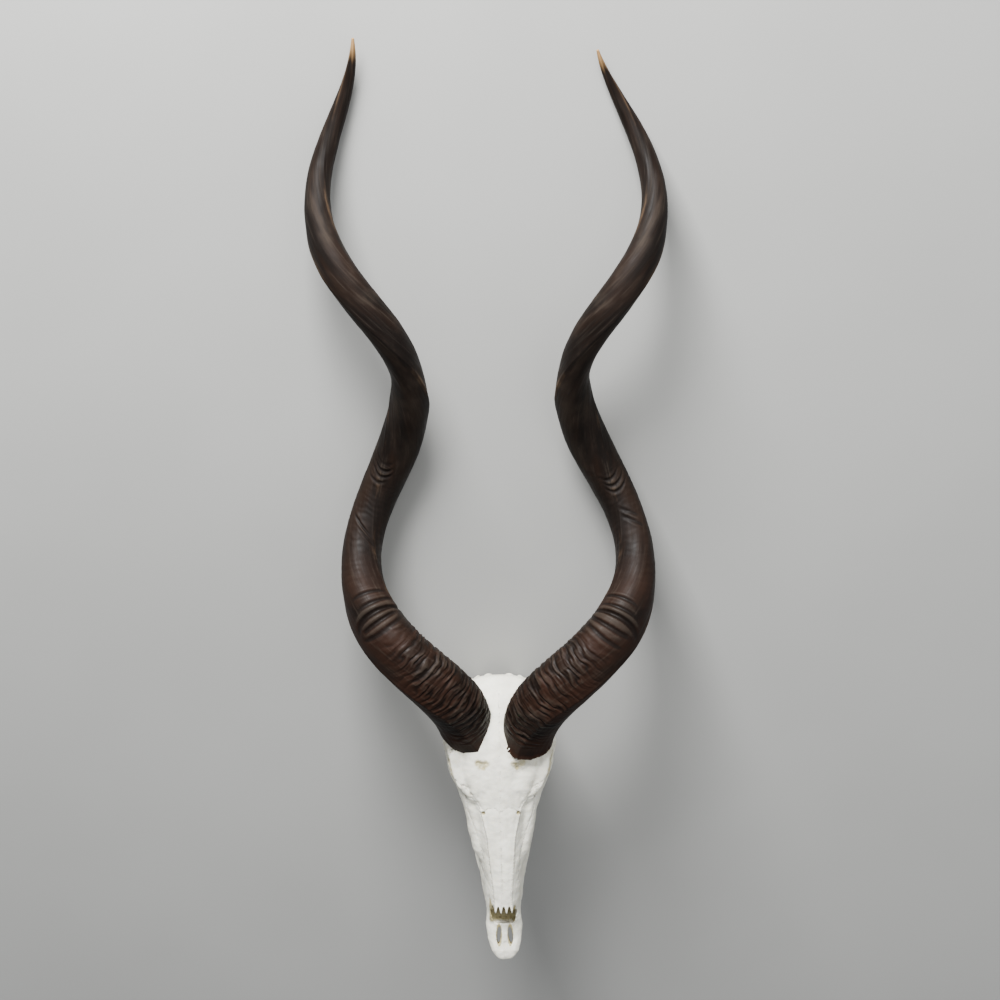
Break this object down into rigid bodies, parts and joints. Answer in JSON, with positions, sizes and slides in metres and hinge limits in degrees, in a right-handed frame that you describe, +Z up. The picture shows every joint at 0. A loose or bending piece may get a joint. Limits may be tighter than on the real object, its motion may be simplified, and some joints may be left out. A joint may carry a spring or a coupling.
{
  "type": "antelope skull with spiral horns",
  "caption": "Cleaned greater kudu bull skull without its lower jaw, carrying a mirrored pair of long, keeled, open-spiral horn sheaths.",
  "frame": {"origin": "middle of the object's box on the surface it rests on", "axes": "+Z up, +Y from the nose towards the horn tips, +X towards the animal's left horn"},
  "size_m": [0.4648, 1.3326, 0.2328],
  "materials": {
    "bone": "bleached dry bone, matt",
    "horn": "dark keratin, ridged near the skull and polished towards the tips",
    "enamel": "stained tooth enamel, satin"
  },
  "bodies": {
    "root": {"skull": "bone", "right_horn_sheath": "horn", "left_horn_sheath": "horn", "left_second_premolar": "enamel", "left_third_premolar": "enamel", "left_fourth_premolar": "enamel", "left_first_molar": "enamel", "left_second_molar": "enamel", "left_third_molar": "enamel", "right_second_premolar": "enamel", "right_third_premolar": "enamel", "right_fourth_premolar": "enamel", "right_first_molar": "enamel", "right_second_molar": "enamel", "right_third_molar": "enamel"}
  },
  "joints": []
}
